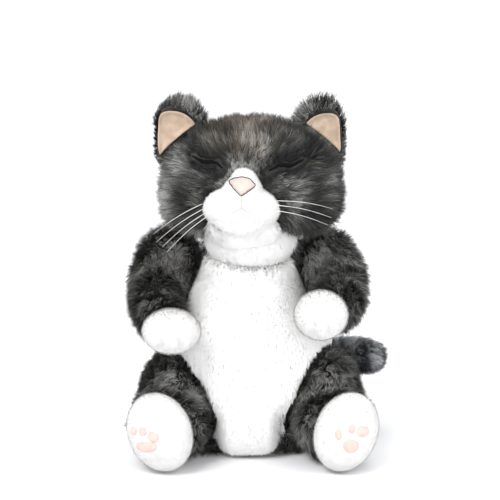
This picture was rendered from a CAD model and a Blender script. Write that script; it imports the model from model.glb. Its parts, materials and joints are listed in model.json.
import json
import math

import bpy
import numpy as np
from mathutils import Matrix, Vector
from mathutils.bvhtree import BVHTree
from mathutils.kdtree import KDTree


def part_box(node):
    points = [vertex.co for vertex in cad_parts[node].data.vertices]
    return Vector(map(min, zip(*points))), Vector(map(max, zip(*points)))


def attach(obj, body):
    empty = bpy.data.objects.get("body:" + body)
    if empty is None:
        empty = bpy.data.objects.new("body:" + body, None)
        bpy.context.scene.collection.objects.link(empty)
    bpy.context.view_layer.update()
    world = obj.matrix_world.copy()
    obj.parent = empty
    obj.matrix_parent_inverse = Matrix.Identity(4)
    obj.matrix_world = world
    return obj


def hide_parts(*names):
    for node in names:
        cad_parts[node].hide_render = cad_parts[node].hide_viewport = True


# The visual model of the seated plush cat.  Metres, in the frame of the CAD.
# Fabric skins are made from the CAD solids; the pile on them is drawn as fine
# tapered blades, a mesh for each coat.  Names say the cat's own side.

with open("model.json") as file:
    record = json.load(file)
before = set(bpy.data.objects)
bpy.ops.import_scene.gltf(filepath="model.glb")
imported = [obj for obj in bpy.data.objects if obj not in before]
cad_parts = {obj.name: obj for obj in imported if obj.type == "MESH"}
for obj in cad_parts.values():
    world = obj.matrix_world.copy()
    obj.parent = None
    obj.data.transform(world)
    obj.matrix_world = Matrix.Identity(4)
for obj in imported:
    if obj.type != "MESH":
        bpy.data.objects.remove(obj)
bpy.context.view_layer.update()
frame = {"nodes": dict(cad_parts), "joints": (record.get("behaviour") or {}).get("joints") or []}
NODES = frame["nodes"]
JOINTS = {j["name"]: np.array(j["pos_m"]) for j in frame["joints"]}
SIDES = ("right", "left")
OUTWARD = {"right": -1.0, "left": 1.0}
rng = np.random.default_rng(63)

MM = 0.001
# How far each cloth lies inside the outside of its CAD cover, which stands for the pile.
DARK_PILE = 11.5 * MM
LEG_PILE = 8.5 * MM
TAIL_PILE = 5.5 * MM
BELLY_PILE = 4.0 * MM
SMOOTH_INSET = 0.5 * MM
STUFFING_INSET = 2.4 * MM   # how far the stuffing solids lie inside it already
FLOOR_GAP = 0.3 * MM        # no cloth and no pile comes lower than this
LONG = 15.5 * MM            # length of the long dark pile
BLADE_GROUND = 9e-7         # square metres of cloth to a blade, for counting the tufts
DENSITY = 1.0


# ------------------------------------------------------------------- meshes
def unit(v):
    return v / np.maximum(np.linalg.norm(v, axis=-1, keepdims=True), 1e-12)


def lerp(a, b, t):
    return a + (b - a) * t


def smoothstep(x, low, high):
    t = np.clip((x - low) / (high - low), 0.0, 1.0)
    return t * t * (3 - 2 * t)


def bump(x, width):
    """A smooth hill: 1 at nought, falling away over a width."""
    return np.exp(-((x / width) ** 2))


def triangles_of(mesh):
    mesh.calc_loop_triangles()
    verts = np.empty(len(mesh.vertices) * 3)
    mesh.vertices.foreach_get("co", verts)
    tris = np.empty(len(mesh.loop_triangles) * 3, np.int64)
    mesh.loop_triangles.foreach_get("vertices", tris)
    return verts.reshape(-1, 3), tris.reshape(-1, 3)


def mesh_object(name, verts, faces):
    mesh = bpy.data.meshes.new(name)
    mesh.from_pydata([tuple(v) for v in verts], [], [tuple(int(i) for i in f) for f in faces])
    mesh.update()
    mesh.polygons.foreach_set("use_smooth", [True] * len(mesh.polygons))
    obj = bpy.data.objects.new(name, mesh)
    bpy.context.scene.collection.objects.link(obj)
    return obj


def remeshed(name, voxel, rounds):
    """A CAD solid as an even quad mesh, relaxed some times over: vertices and faces."""
    verts, tris = triangles_of(NODES[name].data)
    obj = mesh_object("remesh", verts, tris)
    remesh = obj.modifiers.new("remesh", "REMESH")
    remesh.mode = "VOXEL"
    remesh.voxel_size = voxel
    relax = obj.modifiers.new("relax", "SMOOTH")
    relax.factor = 0.5
    relax.iterations = rounds
    bpy.context.view_layer.update()
    shown = obj.evaluated_get(bpy.context.evaluated_depsgraph_get())
    mesh = bpy.data.meshes.new_from_object(shown)
    bpy.data.objects.remove(obj)
    verts = np.empty(len(mesh.vertices) * 3)
    mesh.vertices.foreach_get("co", verts)
    faces = [tuple(p.vertices) for p in mesh.polygons]
    bpy.data.meshes.remove(mesh)
    return verts.reshape(-1, 3), faces


def triangulated(faces):
    tris = []
    for f in faces:
        tris.append((f[0], f[1], f[2]))
        if len(f) == 4:
            tris.append((f[0], f[2], f[3]))
    return np.array(tris)


def vertex_normals(verts, tris):
    a, b, c = verts[tris[:, 0]], verts[tris[:, 1]], verts[tris[:, 2]]
    face = np.cross(b - a, c - a)
    out = np.zeros_like(verts)
    for i in range(3):
        np.add.at(out, tris[:, i], face)
    return unit(out)


def spin_matrix(turn, roll):
    """Degrees about the front-to-back axis, then about the vertical."""
    a, b = math.radians(turn), math.radians(roll)
    about_z = np.array([[math.cos(a), -math.sin(a), 0], [math.sin(a), math.cos(a), 0], [0, 0, 1]])
    about_y = np.array([[math.cos(b), 0, math.sin(b)], [0, 1, 0], [-math.sin(b), 0, math.cos(b)]])
    return about_z @ about_y


def spread(values, tris, rounds):
    """Averages a value per vertex with its neighbours, some times over."""
    edges = np.concatenate([tris[:, [0, 1]], tris[:, [1, 2]], tris[:, [2, 0]]])
    edges = np.concatenate([edges, edges[:, ::-1]])
    count = np.bincount(edges[:, 0], minlength=len(values)) + 1.0
    for _ in range(rounds):
        total = np.bincount(edges[:, 0], weights=values[edges[:, 1]], minlength=len(values))
        values = (values + total) / count
    return values


def distance_to(points, targets):
    """How far each point is from the nearest of the targets."""
    finder = KDTree(len(targets))
    for i, p in enumerate(targets):
        finder.insert(p, i)
    finder.balance()
    return np.array([finder.find(p)[2] for p in points])


def tree_of(name):
    verts, tris = triangles_of(NODES[name].data)
    return BVHTree.FromPolygons([Vector(v) for v in verts], [tuple(t) for t in tris])


def nearest_cover(verts, names):
    """Which CAD cover each vertex lies under."""
    trees = [tree_of(n) for n in names]
    out = np.empty(len(verts), int)
    for i, v in enumerate(verts):
        out[i] = min(range(len(names)), key=lambda k: trees[k].find_nearest(v)[3])
    return out


class Skin:
    """A fabric form: a quad mesh, how white each vertex is, and its cover."""

    def __init__(self, solid, covers, voxel, rounds, dark_inset, white_covers=(), white_inset=0.0,
                 sculpt=None, grow=0.0, inset_of=None):
        self.verts, self.faces = remeshed(solid, voxel, rounds)
        self.tris = triangulated(self.faces)
        self.covers = covers
        self.label = nearest_cover(self.verts, covers)
        white = np.isin(self.label, [covers.index(n) for n in white_covers]).astype(float)
        self.white = spread(white, self.tris, 4) + grow
        inset = lerp(dark_inset, white_inset, spread(white, self.tris, 6))
        if inset_of:
            inset = inset_of(self.verts, inset)
        normals = vertex_normals(self.verts, self.tris)
        self.verts = self.verts - normals * (inset - STUFFING_INSET)[:, None]
        if sculpt:
            self.verts = sculpt(self.verts, vertex_normals(self.verts, self.tris))
        self.verts[:, 2] = np.maximum(self.verts[:, 2], FLOOR_GAP)
        self.normals = vertex_normals(self.verts, self.tris)

    @classmethod
    def egg(cls, centre, radii, turn=0.0, roll=0.0, dents=(), rings=44, spokes=60):
        """An ellipsoid form, with dents given as (line of points, depth, width)."""
        self = cls.__new__(cls)
        theta = np.linspace(0, math.pi, rings)[:, None]
        phi = np.linspace(0, 2 * math.pi, spokes, endpoint=False)[None, :]
        ball = np.stack([np.sin(theta) * np.cos(phi), np.cos(theta) + 0 * phi, np.sin(theta) * np.sin(phi)],
                        axis=2)
        local = ball.reshape(-1, 3) * np.array(radii)
        outward = unit(local / np.array(radii) ** 2)
        spin = spin_matrix(turn, roll)
        local, outward = local @ spin.T, outward @ spin.T
        self.verts = local + np.array(centre)
        for line, depth, width in dents:
            near = distance_to(self.verts, line)
            self.verts = self.verts - outward * (depth * bump(near, width))[:, None]
        grid = np.arange(rings * spokes).reshape(rings, spokes)
        right = np.roll(grid, -1, axis=1)
        quads = np.stack([grid[:-1], right[:-1], right[1:], grid[1:]], axis=2).reshape(-1, 4)
        self.faces = [tuple(q) for q in quads[:, ::-1]]
        self.tris = triangulated(self.faces)
        self.normals = vertex_normals(self.verts, self.tris)
        if (self.normals * outward).sum() < 0:
            self.faces = [f[::-1] for f in self.faces]
            self.tris = self.tris[:, ::-1]
            self.normals = -self.normals
        self.covers, self.label = ["egg"], np.zeros(len(self.verts), int)
        self.white = np.ones(len(self.verts))
        return self

    def middles(self):
        return self.verts[self.tris].mean(axis=1)

    def piece(self, name, white):
        """The dark or the white part of the skin as its own object."""
        keep = [f for f in self.faces if (np.mean(self.white[list(f)]) >= 0.5) == white]
        used = sorted({i for f in keep for i in f})
        place = {old: new for new, old in enumerate(used)}
        faces = [[place[i] for i in f] for f in keep]
        return mesh_object(name, self.verts[used], faces)

    def share(self, cover_names=None, white=None):
        """How much of the pile each triangle gets, from 0 to 1."""
        out = np.ones(len(self.tris))
        if white is not None:
            level = self.white[self.tris].mean(axis=1)
            out *= (level >= 0.5) if white else (level < 0.5)
        if cover_names:
            wanted = [self.covers.index(n) for n in cover_names]
            out *= np.isin(self.label[self.tris[:, 0]], wanted)
        return out


# -------------------------------------------------------------------- noise
def hashed(cells, seed):
    """A repeatable number from 0 to 1 for each whole-number cell."""
    n = cells[..., 0] * 73856093 ^ cells[..., 1] * 19349663 ^ cells[..., 2] * 83492791 ^ seed * 2654435761
    n = (n ^ (n >> 13)) * 1274126177
    n = n ^ (n >> 16)
    return (n & 0xFFFFFF) / float(0x1000000)


def noise(points, size, seed):
    """Smooth value noise from 0 to 1, with cells of one size."""
    scaled = points / size + 100.0
    cell = np.floor(scaled).astype(np.int64)
    t = scaled - cell
    t = t * t * (3 - 2 * t)
    total = np.zeros(len(points))
    for corner in np.ndindex(2, 2, 2):
        weight = np.prod(np.where(np.array(corner) == 1, t, 1 - t), axis=1)
        total += weight * hashed(cell + np.array(corner), seed)
    return total


# --------------------------------------------------------------------- pile
def blades(name, roots, normals, groom, length, width, tone, brown, clump_size, clump_pull, wild, lean, soft):
    """Pile as one mesh of bent, tapered blades that gather into tufts.

    The map named OFBake holds each blade's tone across and its length up,
    so that a material can colour it from root to tip."""
    n = len(roots)
    along = unit(normals * (1 - lean)[:, None] + groom * lean[:, None] + rng.normal(0, wild, (n, 3)))
    low = unit(normals * 0.9 + along * 0.7)
    mid = roots + low * (length * 0.5)[:, None]
    tip = mid + unit(along + groom * 0.25 + rng.normal(0, wild * 0.6, (n, 3))) * (length * 0.55)[:, None]
    clumps = max(int(n * BLADE_GROUND / clump_size**2), 1)
    chosen = rng.choice(n, size=min(clumps, n), replace=False)
    finder = KDTree(len(chosen))
    for i, c in enumerate(chosen):
        finder.insert(roots[c], i)
    finder.balance()
    near = chosen[np.array([finder.find(r)[1] for r in roots])]
    pull = np.clip(clump_pull * rng.uniform(0.5, 1.3, n), 0, 0.95)
    mid = lerp(mid, mid[near], (pull * 0.35)[:, None])
    tip = lerp(tip, tip[near], pull[:, None])
    tone = np.clip(tone + (hashed(np.stack([near, near * 7, near * 13], 1), 5) - 0.5) * 0.3, 0.01, 0.99)
    facing = unit(normals + rng.normal(0, 0.45 * (1 - soft) + 0.08, (n, 3)))
    side = unit(np.cross(tip - roots, facing))
    flat = unit(np.cross(side, tip - roots))
    flip = np.where((flat * normals).sum(axis=1) < 0, -1.0, 1.0)[:, None]
    shade = unit(flat * flip * (1 - soft) + normals * soft)
    side = side * flip * (width / 2)[:, None]
    verts = np.stack([roots - side, roots + side, mid + side * 0.85, mid - side * 0.85, tip], axis=1)
    verts[..., 2] = np.maximum(verts[..., 2], FLOOR_GAP)
    first = np.arange(n)[:, None] * 5
    loops = np.concatenate([first + [0, 1, 2, 3], first + [3, 2, 4]], axis=1)
    mesh = bpy.data.meshes.new(name)
    mesh.vertices.add(n * 5)
    mesh.vertices.foreach_set("co", verts.reshape(-1))
    mesh.loops.add(n * 7)
    mesh.loops.foreach_set("vertex_index", loops.reshape(-1).astype(np.int32))
    mesh.polygons.add(n * 2)
    starts = (np.arange(n)[:, None] * 7 + [0, 4]).reshape(-1)
    mesh.polygons.foreach_set("loop_start", starts.astype(np.int32))
    mesh.polygons.foreach_set("use_smooth", np.ones(n * 2, bool))
    mesh.update(calc_edges=True)
    layer = mesh.uv_layers.new(name="OFBake")
    base = np.where(brown, 0.52, 0.02)[:, None]
    rise = np.array([0.0, 0.0, 0.5, 0.5, 0.5, 0.5, 1.0]) * 0.46
    v = base + rise
    u = np.repeat(tone[:, None], 7, axis=1) * 0.94 + 0.03
    layer.data.foreach_set("uv", np.stack([u, v], axis=2).reshape(-1))
    shading = mesh.attributes.new("custom_normal", "FLOAT_VECTOR", "POINT")
    shading.data.foreach_set("vector", np.repeat(shade, 5, axis=0).reshape(-1))
    obj = bpy.data.objects.new(name, mesh)
    bpy.context.scene.collection.objects.link(obj)
    return obj


def scatter(skin, share, per_mm2):
    """Even random roots over a skin: places and normals."""
    a, b, c = (skin.verts[skin.tris[:, i]] for i in range(3))
    area = np.linalg.norm(np.cross(b - a, c - a), axis=1) / 2 * share
    count = int(area.sum() / MM**2 * per_mm2 * DENSITY)
    edges = np.cumsum(area) / area.sum()
    pick = np.searchsorted(edges, rng.uniform(0, 1, count))
    s, t = rng.uniform(0, 1, (2, count))
    flip = s + t > 1
    s, t = np.where(flip, 1 - s, s), np.where(flip, 1 - t, t)
    weights = np.stack([1 - s - t, s, t], axis=1)[:, :, None]
    roots = (skin.verts[skin.tris[pick]] * weights).sum(axis=1)
    normals = unit((skin.normals[skin.tris[pick]] * weights).sum(axis=1))
    return roots, normals


def tangent(direction, normals):
    return unit(direction - normals * (direction * normals).sum(axis=1, keepdims=True))


# ---------------------------------------------------------------- materials
def new_material(name, roughness, sheen=0.0):
    mat = bpy.data.materials.new(name)
    mat.use_nodes = True
    shader = mat.node_tree.nodes["Principled BSDF"]
    shader.inputs["Roughness"].default_value = roughness
    shader.inputs["Specular IOR Level"].default_value = 0.12
    shader.inputs["Sheen Weight"].default_value = sheen
    return mat, mat.node_tree.nodes, mat.node_tree.links, shader


def ramp(nodes, stops):
    node = nodes.new("ShaderNodeValToRGB")
    elements = node.color_ramp.elements
    while len(elements) < len(stops):
        elements.new(0.5)
    for element, (place, colour) in zip(elements, stops):
        element.position = place
        element.color = (*colour, 1.0)
    return node


def mixed(nodes, links, factor, a, b):
    node = nodes.new("ShaderNodeMix")
    node.data_type = "RGBA"
    links.new(factor, node.inputs["Factor"])
    links.new(a, node.inputs["A"])
    links.new(b, node.inputs["B"])
    return node.outputs["Result"]


def maths(nodes, links, operation, value, constant):
    node = nodes.new("ShaderNodeMath")
    node.operation = operation
    links.new(value, node.inputs[0])
    node.inputs[1].default_value = constant
    return node.outputs[0]


def pile_material(name, roots, plain, brown, roughness=0.75):
    """Root to tip colours of a pile, read from the blades' own map."""
    mat, nodes, links, shader = new_material(name, roughness)
    uv = nodes.new("ShaderNodeUVMap")
    uv.uv_map = "OFBake"
    split = nodes.new("ShaderNodeSeparateXYZ")
    links.new(uv.outputs["UV"], split.inputs["Vector"])
    is_brown = maths(nodes, links, "GREATER_THAN", split.outputs["Y"], 0.5)
    doubled = maths(nodes, links, "MULTIPLY", split.outputs["Y"], 2.0)
    height = maths(nodes, links, "FRACT", doubled, 0.0)
    plain_ramp = ramp(nodes, plain)
    brown_ramp = ramp(nodes, brown)
    root_ramp = ramp(nodes, roots)
    for node in (plain_ramp, brown_ramp, root_ramp):
        links.new(split.outputs["X"], node.inputs["Fac"])
    tips = mixed(nodes, links, is_brown, plain_ramp.outputs["Color"], brown_ramp.outputs["Color"])
    colour = mixed(nodes, links, height, root_ramp.outputs["Color"], tips)
    links.new(colour, shader.inputs["Base Color"])
    return mat


def cloth_material(name, low, high, size, bump_strength, roughness=0.9, sheen=0.3):
    """Short-nap cloth: two tones mottled by noise, with a fine raised nap."""
    mat, nodes, links, shader = new_material(name, roughness, sheen)
    shader.inputs["Sheen Roughness"].default_value = 0.6
    coords = nodes.new("ShaderNodeTexCoord")
    broad = nodes.new("ShaderNodeTexNoise")
    broad.inputs["Scale"].default_value = 1.0 / (size * MM)
    broad.inputs["Detail"].default_value = 4.0
    nap = nodes.new("ShaderNodeTexNoise")
    nap.inputs["Scale"].default_value = 1.0 / (0.6 * MM)
    nap.inputs["Detail"].default_value = 3.0
    for node in (broad, nap):
        links.new(coords.outputs["Object"], node.inputs["Vector"])
    colours = ramp(nodes, [(0.3, low), (0.7, high)])
    links.new(broad.outputs["Fac"], colours.inputs["Fac"])
    links.new(colours.outputs["Color"], shader.inputs["Base Color"])
    raised = nodes.new("ShaderNodeBump")
    raised.inputs["Strength"].default_value = bump_strength
    raised.inputs["Distance"].default_value = 0.4 * MM
    links.new(nap.outputs["Fac"], raised.inputs["Height"])
    links.new(raised.outputs["Normal"], shader.inputs["Normal"])
    return mat


dark_fur = pile_material(
    "dark_pile",
    roots=[(0.0, (0.010, 0.010, 0.010)), (1.0, (0.075, 0.074, 0.070))],
    plain=[(0.0, (0.018, 0.018, 0.018)), (0.45, (0.085, 0.087, 0.083)), (1.0, (0.52, 0.52, 0.50))],
    brown=[(0.0, (0.035, 0.027, 0.020)), (0.45, (0.16, 0.128, 0.098)), (1.0, (0.55, 0.47, 0.39))],
)
tail_fur = pile_material(
    "tail_pile",
    roots=[(0.0, (0.012, 0.013, 0.014)), (1.0, (0.12, 0.13, 0.135))],
    plain=[(0.0, (0.020, 0.022, 0.024)), (0.5, (0.20, 0.225, 0.235)), (1.0, (0.75, 0.77, 0.77))],
    brown=[(0.0, (0.020, 0.022, 0.024)), (0.5, (0.15, 0.16, 0.155)), (1.0, (0.56, 0.56, 0.54))],
)
white_fur = pile_material(
    "white_pile",
    roots=[(0.0, (0.90, 0.89, 0.87)), (1.0, (0.95, 0.945, 0.935))],
    plain=[(0.0, (0.93, 0.925, 0.915)), (1.0, (0.97, 0.968, 0.96))],
    brown=[(0.0, (0.91, 0.90, 0.88)), (1.0, (0.96, 0.955, 0.94))],
    roughness=0.9,
)
white_nap = pile_material(
    "white_nap",
    roots=[(0.0, (0.71, 0.70, 0.69)), (1.0, (0.75, 0.745, 0.735))],
    plain=[(0.0, (0.74, 0.73, 0.72)), (1.0, (0.79, 0.785, 0.775))],
    brown=[(0.0, (0.73, 0.71, 0.695)), (1.0, (0.78, 0.77, 0.755))],
    roughness=0.9,
)
dark_cloth = cloth_material("dark_ground", (0.012, 0.012, 0.012), (0.035, 0.034, 0.032), 6, 0.4)
white_cloth = cloth_material("white_velour", (0.71, 0.70, 0.69), (0.76, 0.755, 0.745), 9, 0.35, sheen=0.05)
beige_cloth = cloth_material("ear_lining", (0.37, 0.275, 0.20), (0.54, 0.42, 0.33), 9, 0.3, sheen=0.1)
pink_cloth = cloth_material("pink_velour", (0.64, 0.45, 0.395), (0.71, 0.53, 0.48), 5, 0.3, sheen=0.0)
dark_thread = cloth_material("dark_thread", (0.001, 0.001, 0.001), (0.006, 0.005, 0.005), 1.5, 0.2, sheen=0.0)
pink_thread = cloth_material("pink_thread", (0.54, 0.42, 0.39), (0.62, 0.50, 0.47), 1.5, 0.5, sheen=0.0)
filament = cloth_material("whisker", (0.80, 0.80, 0.78), (0.92, 0.92, 0.90), 4, 0.05, 0.25, 0.0)


def finish_piece(obj, material, body):
    obj.data.materials.clear()
    obj.data.materials.append(material)
    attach(obj, body)
    return obj


# ------------------------------------------------------------------- skins
def eye_line(side):
    verts, _ = triangles_of(NODES[f"eyelid_stitches_{side}"].data)
    return verts[np.argsort(verts[:, 0])]


EYES = {side: eye_line(side) for side in SIDES}
FLAT = np.array([1.0, 0.0, 1.0])
EYE_POINTS = np.concatenate([EYES["right"], EYES["left"]]) * FLAT
EYE_TREE = KDTree(len(EYE_POINTS))
for i, place in enumerate(EYE_POINTS):
    EYE_TREE.insert(place, i)
EYE_TREE.balance()


def eye_distance(points):
    """Distance from the nearer closed-eye crease, as seen from the front."""
    return distance_to(points * FLAT, EYE_POINTS) + (points[:, 1] > 0)


def sculpt_head(verts, normals):
    """Sinks the closed eyes into the face and slopes the chin back to the throat."""
    near = eye_distance(verts)
    dent = 4.0 * MM * bump(near, 7.0 * MM)
    verts = verts - normals * dent[:, None]
    chin = smoothstep(-verts[:, 2], -216 * MM, -190 * MM) * smoothstep(-verts[:, 1], 36 * MM, 60 * MM)
    return verts + np.array([0.0, 16 * MM, -3 * MM]) * chin[:, None]


HEAD_COVERS = ["head_cover_right", "head_cover_left", "head_centre_strip", "muzzle_cover", "chin_cover"]
TORSO_COVERS = ["body_cover", "belly_panel", "seat_panel"]
NECK_COVERS = ["neck_cover", "throat_panel"]
SPLAY = {"right": -12, "left": 16}      # how far each foot is turned out, degrees
FOOT_LEAN = 20                          # how far its top leans outwards, degrees
ALONG = np.linspace(0, 1, 14)[:, None]  # steps along a dent or a hair


def middle_and_half(node):
    low, high = (np.array(v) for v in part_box(node))
    return (low + high) / 2, (high - low) / 2


NOSE = middle_and_half("nose_patch")[0]
MUZZLE = middle_and_half("muzzle_cover")[0]
HEAD_MID, HEAD_HALF = middle_and_half("head_stuffing")
# Blacker patches of the face: place across and up from its middle, size in mm, depth.
DARK_PATCHES = [((0.50, 0.68), 22, 0.34), ((0.28, 0.42), 14, 0.22), ((-0.52, 0.72), 16, 0.20),
                ((-0.42, 0.30), 12, 0.14)]


def body_inset(verts, inset):
    """Fuller at the shoulders, and drawn in between the legs at the front."""
    shoulder = smoothstep(verts[:, 2], 100 * MM, 130 * MM) * smoothstep(np.abs(verts[:, 0]), 20 * MM, 40 * MM)
    low = smoothstep(-verts[:, 2], -62 * MM, -30 * MM) * smoothstep(-verts[:, 1], 20 * MM, 40 * MM)
    low = low * smoothstep(np.abs(verts[:, 0]), 16 * MM, 34 * MM)
    top = smoothstep(verts[:, 2], 150 * MM, 172 * MM) * smoothstep(-verts[:, 1], 5 * MM, 20 * MM)
    return lerp(lerp(lerp(inset, 3 * MM, shoulder), 15 * MM, low), -1.5 * MM, top)


def neck_inset(verts, inset):
    """Drawn in where it meets the body."""
    return lerp(5 * MM, inset, smoothstep(verts[:, 2], 168 * MM, 196 * MM))


def arm_inset(verts, inset):
    """Fuller towards the back."""
    return lerp(inset, 6 * MM, smoothstep(verts[:, 1], -25 * MM, 5 * MM))


def leg_inset(side):
    """The thigh is drawn in at its inner top, where the belly rests on it."""
    middle, _ = middle_and_half(f"leg_cover_{side}")

    def inset_of(verts, inset):
        inner = smoothstep(-OUTWARD[side] * (verts[:, 0] - middle[0]), -8 * MM, 22 * MM)
        high = smoothstep(verts[:, 2], 48 * MM, 86 * MM)
        return lerp(inset, 19 * MM, inner * high)

    return inset_of


def ear_form(verts, normals):
    """Draws the ear back in, so that the pile round it ends where the CAD does."""
    low, high = verts.min(axis=0), verts.max(axis=0)
    inner = low[0] if abs(low[0]) < abs(high[0]) else high[0]
    base = np.array([inner, 0.0, low[2]])
    return base + (verts - base) * [0.86, 1.0, 0.88] + [0.0, 2.6 * MM, 0.0]


def rolled_rim(verts, normals):
    """A soft rim round the ear lining."""
    edge = verts[np.abs(normals[:, 1]) < 0.35]
    near = distance_to(verts, edge)
    forward = 2.0 * MM * bump(near, 2.8 * MM) + 0.4 * MM
    return verts - np.array([0.0, 1.0, 0.0]) * forward[:, None]


def paw_form(side):
    """A round paw with two dents between its fingers."""
    middle, half = middle_and_half(f"paw_cover_{side}")
    across, up = half[0], half[2]
    deep = (across + up) / 2 * 1.08
    centre = np.array([middle[0], middle[1] - half[1] + deep, middle[2]])
    dents = []
    for shift in (-0.33, 0.33):
        start = centre + [shift * across, -deep * 0.97, -up * 0.15]
        end = centre + [shift * across * 1.1, -deep * 0.62, -up * 0.85]
        dents.append((lerp(start, end, ALONG), 2.4 * MM, 3.0 * MM))
    paw = Skin.egg(centre, [across - 0.4 * MM, deep, up - 0.4 * MM], dents=dents)
    paw.centre, paw.radii = centre, np.array([across, deep, up])
    return paw


def foot_form(side):
    """A long foot that leans outwards, with a crease over the toes and dents between them."""
    middle, half = middle_and_half(f"foot_cover_{side}")
    out = OUTWARD[side]
    deep = half[0] * 0.72
    centre = np.array([middle[0], middle[1] - half[1] + deep, middle[2]])
    start = centre + [out * half[0] * 0.30, -deep * 1.1, half[2] * 0.40]
    end = centre + [out * half[0] * 1.0, -deep * 0.6, half[2] * 0.46]
    dents = [(lerp(start, end, ALONG), 1.8 * MM, 3.4 * MM)]
    for k in (0, 1):
        start = centre + [out * half[0] * (0.33 + 0.26 * k), -deep * 1.2, half[2] * 0.02]
        end = centre + [out * half[0] * (0.38 + 0.28 * k), -deep * 0.9, half[2] * 0.38]
        dents.append((lerp(start, end, ALONG), 1.3 * MM, 2.6 * MM))
    foot = Skin.egg(centre, [half[0] * 0.90, deep, half[2] * 1.02], SPLAY[side], out * FOOT_LEAN, dents)
    foot.centre, foot.radii = centre, np.array([half[0] * 0.9, deep, half[2]])
    return foot


head = Skin("head_stuffing", HEAD_COVERS, 1.8 * MM, 5, DARK_PILE, HEAD_COVERS[3:], SMOOTH_INSET, sculpt_head)
torso = Skin("body_stuffing", TORSO_COVERS, 3.0 * MM, 6, DARK_PILE, ["belly_panel"], BELLY_PILE, grow=0.2,
             inset_of=body_inset)
neck = Skin("neck_stuffing", NECK_COVERS, 2.4 * MM, 2, 3.0 * MM, ["throat_panel"], -5.0 * MM,
            inset_of=neck_inset)
tail = Skin("tail_stuffing", ["tail_cover"], 2.2 * MM, 6, TAIL_PILE)
limbs, eggs = {}, {}
for side in SIDES:
    limbs["arm", side] = Skin(f"arm_stuffing_{side}", [f"arm_cover_{side}"], 2.2 * MM, 6, DARK_PILE,
                              inset_of=arm_inset)
    limbs["leg", side] = Skin(f"leg_stuffing_{side}", [f"leg_cover_{side}"], 2.4 * MM, 6, LEG_PILE,
                              inset_of=leg_inset(side))
    # The ears are made from their covers, so only their sculpting moves them.
    limbs["ear", side] = Skin(f"ear_back_{side}", [f"ear_back_{side}"], 1.4 * MM, 3, STUFFING_INSET,
                              sculpt=ear_form)
    limbs["lining", side] = Skin(f"ear_lining_{side}", [f"ear_lining_{side}"], 0.8 * MM, 3, STUFFING_INSET,
                                 sculpt=rolled_rim)
    eggs["paw", side] = paw_form(side)
    eggs["foot", side] = foot_form(side)

head_dark = finish_piece(head.piece("head_ground", False), dark_cloth, "head")
head_white = finish_piece(head.piece("muzzle_skin", True), white_cloth, "head")
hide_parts(*HEAD_COVERS[:3], "head_stuffing")
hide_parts(*HEAD_COVERS[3:])
torso_dark = finish_piece(torso.piece("body_ground", False), dark_cloth, "torso")
torso_white = finish_piece(torso.piece("belly_ground", True), white_cloth, "torso")
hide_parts("body_cover", "seat_panel", "body_stuffing", "closing_seam")
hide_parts("belly_panel")
neck_dark = finish_piece(neck.piece("neck_ground", False), dark_cloth, "neck")
neck_white = finish_piece(neck.piece("throat_ground", True), white_cloth, "neck")
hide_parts("neck_cover", "neck_stuffing")
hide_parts("throat_panel")
for side in SIDES:
    for kind, end in (("arm", "paw"), ("leg", "foot")):
        body = f"{kind}_{side}"
        dark = limbs[kind, side].piece(f"{kind}_ground_{side}", False)
        finish_piece(dark, dark_cloth, body)
        white = eggs[end, side].piece(f"{end}_skin_{side}", True)
        finish_piece(white, white_cloth, body)
        stitches = f"paw_stitches_{side}" if end == "paw" else f"toe_stitches_{side}"
        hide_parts(f"{kind}_cover_{side}", f"{kind}_stuffing_{side}")
        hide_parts(f"{end}_cover_{side}", stitches)
    ear = limbs["ear", side].piece(f"ear_ground_{side}", False)
    finish_piece(ear, dark_cloth, f"ear_{side}")
    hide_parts(f"ear_back_{side}")
    lining = limbs["lining", side].piece(f"ear_inside_{side}", False)
    finish_piece(lining, beige_cloth, f"ear_{side}")
    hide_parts(f"ear_lining_{side}")
tail_ground = finish_piece(tail.piece("tail_ground", False), dark_cloth, "tail")
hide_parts("tail_cover", "tail_stuffing")


# ------------------------------------------------------- nose, eyes, pads
def islands(name):
    """The separate solids of a CAD node, as lists of points."""
    verts, tris = triangles_of(NODES[name].data)
    _, same = np.unique(np.round(verts / (0.02 * MM)).astype(np.int64), axis=0, return_inverse=True)
    same = same.reshape(-1)
    group = np.arange(same.max() + 1)
    ends = same[tris]
    while True:
        low = group[ends].min(axis=1)
        before = group.copy()
        for i in range(3):
            np.minimum.at(group, ends[:, i], low)
        group = group[group]
        if (before == group).all():
            break
    owner = group[same]
    return [verts[owner == g] for g in np.unique(owner)]


def tube(name, points, radii, sides=8):
    """A round tapered thread through points."""
    points, radii = np.array(points), np.array(radii)
    along = unit(np.gradient(points, axis=0))
    first = unit(np.cross(along, np.array([0.3, 1.0, 0.2])))
    second = np.cross(along, first)
    angles = np.linspace(0, 2 * math.pi, sides, endpoint=False)
    ring = first[:, None] * np.cos(angles)[:, None] + second[:, None] * np.sin(angles)[:, None]
    verts = (points[:, None] + ring * radii[:, None, None]).reshape(-1, 3)
    faces = []
    for i in range(len(points) - 1):
        for j in range(sides):
            k = (j + 1) % sides
            faces.append((i * sides + j, i * sides + k, (i + 1) * sides + k, (i + 1) * sides + j))
    faces.append(tuple(range(sides))[::-1])
    faces.append(tuple((len(points) - 1) * sides + j for j in range(sides)))
    return mesh_object(name, verts, faces)


def joined(name, objects):
    """Several objects as one mesh."""
    verts, faces = [], []
    for obj in objects:
        start = len(verts)
        verts += [tuple(v.co) for v in obj.data.vertices]
        faces += [tuple(start + i for i in p.vertices) for p in obj.data.polygons]
        bpy.data.objects.remove(obj)
    return mesh_object(name, verts, faces)


def surface_tree(skin):
    triangles = [tuple(int(i) for i in t) for t in skin.tris]
    return BVHTree.FromPolygons([Vector(v) for v in skin.verts], triangles)


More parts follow.
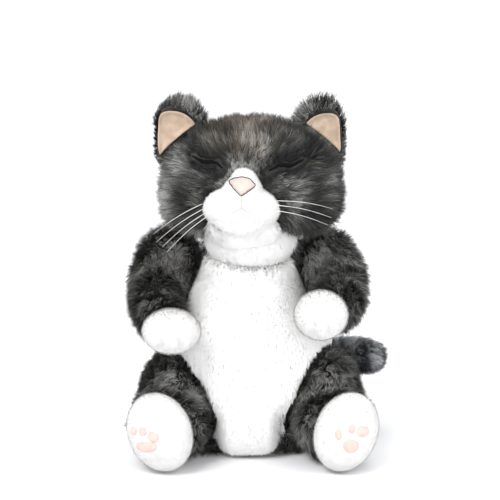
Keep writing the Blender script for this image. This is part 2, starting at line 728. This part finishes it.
def from_front(tree, x, z):
    """The point of a surface that is seen from straight ahead at x, z."""
    hit, normal, _, _ = tree.ray_cast(Vector((x, -0.5, z)), Vector((0, 1, 0)))
    if hit is None:
        hit, normal, _, _ = tree.find_nearest(Vector((x, -0.11, z)))
    return np.array(hit), np.array(normal if normal.y < 0 else -normal)


def patch(name, tree, middle, outline, height, rings=7):
    """A cushioned applique: an outline of (x, z) offsets laid on a surface."""
    outline = np.array(outline)
    verts = []
    for k in range(rings + 1):
        t = k / rings
        rise = height * (1 - t ** 3.0) - (0.5 * MM if k == rings else 0)
        ring = outline * t if k else np.zeros((1, 2))
        for x, z in ring:
            point, normal = from_front(tree, middle[0] + x, middle[1] + z)
            verts.append(point + normal * rise)
    n = len(outline)
    faces = [(0, 1 + j, 1 + (j + 1) % n) for j in range(n)]
    for k in range(rings - 1):
        a, b = 1 + k * n, 1 + (k + 1) * n
        faces += [(a + j, b + j, b + (j + 1) % n, a + (j + 1) % n) for j in range(n)]
    return mesh_object(name, verts, faces)


def round_outline(across, up, lean=0.0, notch=0.0, count=28):
    angle = np.linspace(0, 2 * math.pi, count, endpoint=False)
    radius = 1 - notch * bump(angle - math.pi / 2, 0.35)
    x, z = across * np.cos(angle) * radius, up * np.sin(angle) * radius
    c, d = math.cos(math.radians(lean)), math.sin(math.radians(lean))
    return np.stack([x * c - z * d, x * d + z * c], axis=1)


def make_nose(tree):
    """The nose patch, with the shape of the CAD's outline, and the thread round it."""
    rim, _ = remeshed("nose_outline_stitches", 0.35 * MM, 0)
    bearing = np.arctan2(rim[:, 2] - NOSE[2], rim[:, 0] - NOSE[0])
    distance = np.hypot(rim[:, 2] - NOSE[2], rim[:, 0] - NOSE[0])
    angles = np.linspace(-math.pi, math.pi, 45)[:-1]
    reach = np.array([distance[np.abs(bearing - a) < 0.12].mean() for a in angles])
    nose_line = np.stack([np.cos(angles) * reach, np.sin(angles) * reach], axis=1)
    nose = patch("nose_cushion", tree, NOSE[[0, 2]], nose_line, 1.8 * MM)
    finish_piece(nose, pink_cloth, "head")
    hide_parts("nose_patch")
    around = []
    for x, z in np.concatenate([nose_line, nose_line[:1]]):
        point, normal = from_front(tree, NOSE[0] + x, NOSE[2] + z)
        around.append(point + normal * 1.1 * MM)
    outline = tube("nose_outline", around, np.full(len(around), 0.4 * MM))
    finish_piece(outline, dark_thread, "head")
    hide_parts("nose_outline_stitches")


def make_mouth():
    verts, faces = remeshed("mouth_stitches", 0.35 * MM, 1)
    mouth = mesh_object("mouth_thread", verts + np.array([0, -0.3 * MM, 0]), faces)
    finish_piece(mouth, pink_thread, "head")
    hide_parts("mouth_stitches")


def make_eye(side, tree, steps=16):
    """A dark crease that swells at its middle, laid over the pile of the closed eye."""
    line = EYES[side]
    bins = np.linspace(line[:, 0].min() + 1 * MM, line[:, 0].max() - 1 * MM, steps)
    height = np.interp(bins, line[:, 0], line[:, 2])
    height = np.convolve(np.pad(height, 2, mode="edge"), np.ones(5) / 5, mode="valid")
    path = []
    for x, z in zip(bins, height):
        point, normal = from_front(tree, x, z)
        path.append(point + normal * 4.5 * MM)
    radii = np.interp(np.linspace(0, 1, steps), [0, 0.5, 1], [0.6, 2.0, 0.6]) * MM
    thread = tube(f"eye_crease_{side}", path, radii)
    finish_piece(thread, dark_thread, "head")
    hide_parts(f"eyelid_stitches_{side}")


def make_whiskers(side):
    """A bent hair from the root to the tip of each CAD whisker."""
    hairs = []
    for points in islands(f"whiskers_{side}"):
        order = np.argsort(np.abs(points[:, 0]))
        root, tip = points[order[:12]].mean(axis=0), points[order[-12:]].mean(axis=0)
        bend = np.array([0.0, -4 * MM, 2.5 * MM]) * (np.sin(ALONG * math.pi))
        radii = np.linspace(0.24, 0.08, len(ALONG)) * MM
        hairs.append(tube("hair", lerp(root, tip, ALONG) + bend, radii, 6))
    whiskers = finish_piece(joined(f"whisker_hairs_{side}", hairs), filament, "head")
    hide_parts(f"whiskers_{side}")


# Pads in the frame of each foot: out from its middle, up from it, size in mm, and lean.
PADS = {
    "right": [((0.34, -0.22), (10.0, 5.4), 8), ((0.14, 0.06), (5.0, 5.2), 0), ((0.44, 0.17), (3.4, 4.2), 0),
              ((0.70, 0.14), (2.8, 4.0), 0)],
    "left": [((0.10, -0.18), (7.4, 6.8), 20), ((0.43, 0.16), (6.2, 5.2), 20), ((0.12, 0.26), (3.2, 4.2), 0),
             ((-0.26, 0.12), (3.0, 5.2), 0)],
}


def make_pads(side):
    foot = eggs["foot", side]
    tree = surface_tree(foot)
    pads = []
    for (out, up), (across, tall), lean in PADS[side]:
        x = foot.centre[0] + OUTWARD[side] * out * foot.radii[0] * 1.1
        z = foot.centre[2] + up * foot.radii[2]
        shape = round_outline(across * MM, tall * MM, lean * -OUTWARD[side], 0.12)
        pads.append(patch("pad", tree, (x, z), shape, 1.7 * MM))
    pads = finish_piece(joined(f"pads_{side}", pads), pink_cloth, f"leg_{side}")
    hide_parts(f"foot_pads_{side}")


face_tree = surface_tree(head)
make_nose(face_tree)
make_mouth()
for side in SIDES:
    make_eye(side, face_tree)
    make_whiskers(side)
for side in SIDES:
    make_pads(side)


# ----------------------------------------------------------------- the pile
def mottle(points):
    """The coat's patches: broad and fine, from 0 dark to 1 light."""
    broad = noise(points, 34 * MM, 3)
    fine = noise(points, 13 * MM, 9)
    return 0.24 + 0.62 * broad * fine + 0.36 * (fine - 0.45)


def swirl(points):
    """Slow random changes of direction, so that the pile looks tousled."""
    broad = np.stack([noise(points, 26 * MM, 20 + i) for i in range(3)], axis=1) - 0.5
    fine = np.stack([noise(points, 9 * MM, 30 + i) for i in range(3)], axis=1) - 0.5
    return 1.6 * broad + 1.5 * fine


def coat(name, skin, share, groom_of, body, material, slot, length, density=1.7, width=0.52, tone_of=None,
         brown_of=None, clump=4.2, pull=0.55, wild=0.22, lean=0.5, length_of=None, soft=0.6, tousle=0.75):
    roots, normals = scatter(skin, share, density)
    n = len(roots)
    groom = tangent(unit(groom_of(roots)) + swirl(roots) * tousle, normals)
    reach = length * rng.uniform(0.72, 1.22, n)
    if length_of is not None:
        reach = reach * length_of(roots)
    tone = (tone_of or mottle)(roots) + rng.normal(0, 0.13, n)
    chance = brown_of(roots) if brown_of else np.full(n, 0.06)
    brown = rng.uniform(0, 1, n) < chance
    wide = np.full(n, width * MM) * rng.uniform(0.7, 1.3, n)
    leans = np.clip(np.full(n, lean) + rng.normal(0, 0.08, n), 0, 0.95)
    obj = blades(name, roots, normals, groom, reach, wide, tone, brown, clump * MM, pull, wild, leans, soft)
    return finish_piece(obj, material, body)


def head_groom(p):
    """Away from the nose and the eye creases, then down the back of the head."""
    out = unit(p - (MUZZLE + np.array([0.0, -0.01, 0.0])))
    apart = (p - np.array([EYE_TREE.find(q)[0] for q in p * FLAT])) * FLAT
    parting = bump(np.linalg.norm(apart, axis=1), 10 * MM) * (p[:, 1] < 0)
    out = unit(lerp(out, unit(apart), 0.9 * parting[:, None]))
    back = smoothstep(p[:, 1], HEAD_MID[1] + 10 * MM, HEAD_MID[1] + 50 * MM)[:, None]
    return lerp(out, np.array([0.0, 0.15, -1.0]), back)


def head_tone(p):
    """The face's mottle: darker at the eyes and patches, lighter at the bridge, lids and cheeks."""
    away = eye_distance(p)
    front = smoothstep(-p[:, 1], 0.0, 40 * MM)
    edge = smoothstep(np.abs(p[:, 0] - HEAD_MID[0]), 45 * MM, 75 * MM) * 0.12
    bridge = bump(p[:, 0] - NOSE[0], 14 * MM) * smoothstep(p[:, 2], NOSE[2], NOSE[2] + 20 * MM)
    below = EYES["right"][:, 2].mean() > p[:, 2] + 2 * MM
    lid = bump(away - 10 * MM, 4 * MM) * below * front
    tone = 1.5 * mottle(p) - 0.30 + edge + 0.26 * bridge * front - 0.4 * bump(away, 7 * MM) + 0.14 * lid
    for (x, z), size, depth in DARK_PATCHES:
        spot = HEAD_MID[[0, 2]] + np.array([x, z]) * HEAD_HALF[[0, 2]]
        tone -= depth * np.exp(-(((p[:, [0, 2]] - spot) ** 2).sum(axis=1) / (size * MM) ** 2)) * front
    return tone


def head_brown(p):
    """The chance that a blade is brown: high down the middle of the forehead."""
    above = smoothstep(p[:, 2], NOSE[2] + 8 * MM, NOSE[2] + 30 * MM)
    return 0.04 + 0.62 * bump(p[:, 0] - NOSE[0], 26 * MM) * above


def head_length(p):
    """Shorter round the muzzle and at the closed eyes."""
    close = smoothstep(np.linalg.norm(p - MUZZLE, axis=1), 34 * MM, 62 * MM)
    return (0.45 + 0.55 * close) * (1 - 0.6 * bump(eye_distance(p), 7 * MM))


def chin_length(p):
    return lerp(0.15, 1.0, smoothstep(-p[:, 2], -218 * MM, -202 * MM))


def body_length(p):
    return lerp(1.0, 1.3, smoothstep(p[:, 2], 140 * MM, 165 * MM))


def away_from(joint, towards):
    """Pile that lies from a joint out along a limb and a little downwards."""
    start = JOINTS[joint]
    end = sum(np.array(v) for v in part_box(towards)) / 2
    direction = unit(end - start) + np.array([0.0, 0.0, -0.25])
    return lambda p: np.tile(direction, (len(p), 1))


def downwards(p):
    return np.tile(np.array([0.0, 0.05, -1.0]), (len(p), 1))


def outside(skin, egg, margin):
    """Shares of a skin's triangles: none for those within an egg."""
    inside = (((skin.middles() - egg.centre) / (egg.radii + margin)) ** 2).sum(axis=1) < 1
    return (~inside).astype(float)


def shorter_near(egg, reach):
    """Pile lengths that drop towards a smooth part."""
    def length_of(p):
        gap = (np.sqrt((((p - egg.centre) / egg.radii) ** 2).sum(axis=1)) - 1) * egg.radii.mean()
        return lerp(0.45, 1.0, smoothstep(gap, 0.0, reach))

    return length_of


def clear_of(skin, points, gap):
    """Shares of a skin's triangles: none for those near some points."""
    return (distance_to(skin.middles(), points) > gap).astype(float)


def limb_tone(p):
    return 1.35 * mottle(p) + 0.16


def white_tone(p):
    return 0.35 + 0.5 * noise(p, 9 * MM, 4)


def straight_out(p):
    return np.tile(np.array([0.0, -0.3, -0.6]), (len(p), 1))


def ear_tone(p):
    return mottle(p) + 0.12


TAIL_LOW, TAIL_HIGH = (np.array(v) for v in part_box("tail_cover"))


def tail_groom(p):
    """Along the curve of the tail, root to tip."""
    done = (p[:, 0] - TAIL_LOW[0]) / (TAIL_HIGH[0] - TAIL_LOW[0])
    return np.stack([np.ones(len(p)), lerp(0.9, -0.8, done), np.full(len(p), 0.1)], axis=1)


def tail_tone(p):
    """Rings of black round a grey tail, lighter on top."""
    rings = np.sin((p[:, 0] + 0.25 * p[:, 1]) / (15 * MM) * 2 * math.pi)
    top = smoothstep(p[:, 2], TAIL_LOW[2] + 18 * MM, TAIL_HIGH[2] - 4 * MM)
    return 0.62 + 0.32 * top - 0.50 * smoothstep(rings, 0.35, 0.85)


# The short velour nap of the muzzle, paws and feet, and the soft white wool of the front.
NAP = dict(density=1.1, width=0.24, tone_of=white_tone, clump=1.6, pull=0.15, wild=0.3, lean=0.4, soft=0.97,
           tousle=0.3)
WOOL = dict(density=2.1, width=0.85, tone_of=white_tone, clump=2.6, pull=0.22, wild=0.2, lean=0.82, soft=0.97,
            tousle=0.4)


def coat_head():
    middles = head.middles()
    off_eyes = eye_distance(middles) > 2.4 * MM
    for cover, name in (("head_cover_right", "head_fur_right"), ("head_cover_left", "head_fur_left"),
                        ("head_centre_strip", "head_fur_centre")):
        share = head.share([cover], white=False) * off_eyes
        coat(name, head, share, head_groom, "head", dark_fur, "dark_pile", LONG, density=1.5,
             tone_of=head_tone, brown_of=head_brown, length_of=head_length)
    nose_points = [triangles_of(NODES[n].data)[0] for n in ("nose_outline_stitches", "nose_patch")]
    coat("chin_fur", head, head.share(white=True) * (middles[:, 2] < 218 * MM), downwards, "head", white_fur,
         "white_velour", 8 * MM, length_of=chin_length, **WOOL)
    off_nose = clear_of(head, np.concatenate(nose_points), 1.6 * MM)
    coat("muzzle_nap", head, head.share(white=True) * off_nose, head_groom, "head", white_nap, "white_velour",
         1.7 * MM, **NAP)


def coat_torso_and_neck():
    back = torso.share(["body_cover"], white=False)
    coat("body_fur", torso, back, downwards, "torso", dark_fur, "dark_pile", LONG, density=1.15,
         length_of=body_length)
    coat("belly_fur", torso, torso.share(white=True), downwards, "torso", white_fur, "white_pile", 6.0 * MM,
         **WOOL)
    coat("neck_fur", neck, neck.share(white=False), downwards, "neck", dark_fur, "dark_pile", 14 * MM,
         density=1.5, lean=0.2)
    coat("throat_fur", neck, neck.share(white=True), downwards, "neck", white_fur, "white_pile", 9 * MM,
         **WOOL)


def coat_limbs(side):
    arm, leg = limbs["arm", side], limbs["leg", side]
    paw, foot = eggs["paw", side], eggs["foot", side]
    arm_groom = away_from(f"arm_{side}_swing", f"paw_cover_{side}")
    leg_groom = away_from(f"leg_{side}_lift", f"foot_cover_{side}")
    coat(f"arm_fur_{side}", arm, outside(arm, paw, 3 * MM), arm_groom, f"arm_{side}", dark_fur, "dark_pile",
         LONG, length_of=shorter_near(paw, 14 * MM), tone_of=limb_tone)
    coat(f"paw_nap_{side}", paw, paw.share(), straight_out, f"arm_{side}", white_nap, "white_velour",
         2.0 * MM, **NAP)
    coat(f"leg_fur_{side}", leg, outside(leg, foot, 1 * MM), leg_groom, f"leg_{side}", dark_fur, "dark_pile",
         14 * MM, length_of=shorter_near(foot, 10 * MM), tone_of=limb_tone)
    coat(f"foot_nap_{side}", foot, foot.share(), straight_out, f"leg_{side}", white_nap, "white_velour",
         1.5 * MM, **NAP)


def coat_ear(side):
    """Pile on the back of an ear and round its edge, but not over its lining."""
    ear, lining = limbs["ear", side], limbs["lining", side]
    low, high = ear.verts[:, 2].min(), ear.verts[:, 2].max()
    middle = lining.verts.mean(axis=0)
    behind = (ear.normals[ear.tris].mean(axis=1)[:, 1] > -0.2).astype(float)
    behind = np.maximum(behind, clear_of(ear, lining.verts, 3.4 * MM))

    def ear_groom(p):
        return unit(p - middle) * [0.6, 0.2, 0.6] + np.array([0.25 * OUTWARD[side], 0.1, 0.8])

    def ear_length(p):
        tall = lerp(0.55, 1.5, smoothstep(p[:, 2], lerp(low, high, 0.35), high))
        return tall * lerp(0.4, 1.0, smoothstep(distance_to(p, lining.verts), 3 * MM, 8 * MM))

    coat(f"ear_fur_{side}", ear, behind, ear_groom, f"ear_{side}", dark_fur, "dark_pile", 11.5 * MM,
         density=2.0, tone_of=ear_tone, length_of=ear_length, lean=0.62, clump=3.4)


coat_head()
coat_torso_and_neck()
for side in SIDES:
    coat_limbs(side)
    coat_ear(side)
coat("tail_fur", tail, tail.share(), tail_groom, "tail", tail_fur, "tail_pile", 9.5 * MM, density=1.6,
     tone_of=tail_tone, clump=3.0, lean=0.6)


# --------------------------------------------------------- stage and camera
def make_stage():
    """A paper sweep: flat from far in front of the cat, then curving up behind it."""
    half_width = 6.0
    front = -9.0
    bend = 1.2
    radius = 1.6
    steps = 24
    verts, faces = [], []
    for i in range(steps + 1):
        t = i / steps
        if t < 0.5:
            y, z = lerp(front, bend, t * 2), 0.0
        else:
            a = (t - 0.5) * math.pi
            y, z = bend + radius * math.sin(a), radius * (1 - math.cos(a))
        for x in (-half_width, half_width):
            verts.append((x, y, z))
    for i in range(steps):
        faces.append((2 * i, 2 * i + 1, 2 * i + 3, 2 * i + 2))
    floor = mesh_object("floor", verts, faces)
    mat, _, _, shader = new_material("paper", 0.9)
    shader.inputs["Base Color"].default_value = (0.93, 0.93, 0.94, 1)
    floor.data.materials.append(mat)


def make_light(name, place, size, power):
    """A round lamp, turned towards the middle of the cat."""
    data = bpy.data.lights.new(name, "AREA")
    data.shape = "DISK"
    data.size = size
    data.energy = power
    light = bpy.data.objects.new(name, data)
    bpy.context.scene.collection.objects.link(light)
    light.location = place
    light.rotation_mode = "QUATERNION"
    light.rotation_quaternion = (Vector((0, 0, 0.15)) - Vector(place)).to_track_quat("-Z", "Y")


def make_camera():
    elevation = math.radians(10)
    distance = 1.5
    view_width = 447.5 * MM     # what the picture spans at the cat
    aim = Vector((0.0018, 0.0, 0.179))
    data = bpy.data.cameras.new("camera")
    data.sensor_width = 36.0
    data.lens = 36.0 * distance / view_width
    camera = bpy.data.objects.new("camera", data)
    bpy.context.scene.collection.objects.link(camera)
    back = Vector((0, -math.cos(elevation), math.sin(elevation)))
    camera.location = aim + back * distance
    camera.rotation_mode = "QUATERNION"
    camera.rotation_quaternion = (-back).to_track_quat("-Z", "Y")
    data.clip_start = 0.05
    data.clip_end = 50
    bpy.context.scene.camera = camera


make_stage()
make_light("key", (-0.9, -1.3, 1.7), 1.2, 32)
make_light("fill", (1.3, -1.1, 0.9), 1.4, 11)
make_light("low", (0.0, -1.9, 0.25), 1.6, 13)
make_light("back", (0.3, 1.1, 1.6), 1.4, 16)
make_camera()
world = bpy.data.worlds.new("studio")
world.use_nodes = True
world.node_tree.nodes["Background"].inputs["Color"].default_value = (0.97, 0.98, 1.0, 1)
world.node_tree.nodes["Background"].inputs["Strength"].default_value = 0.8
bpy.context.scene.world = world
bpy.context.scene.view_settings.view_transform = "Standard"

bpy.context.view_layer.update()
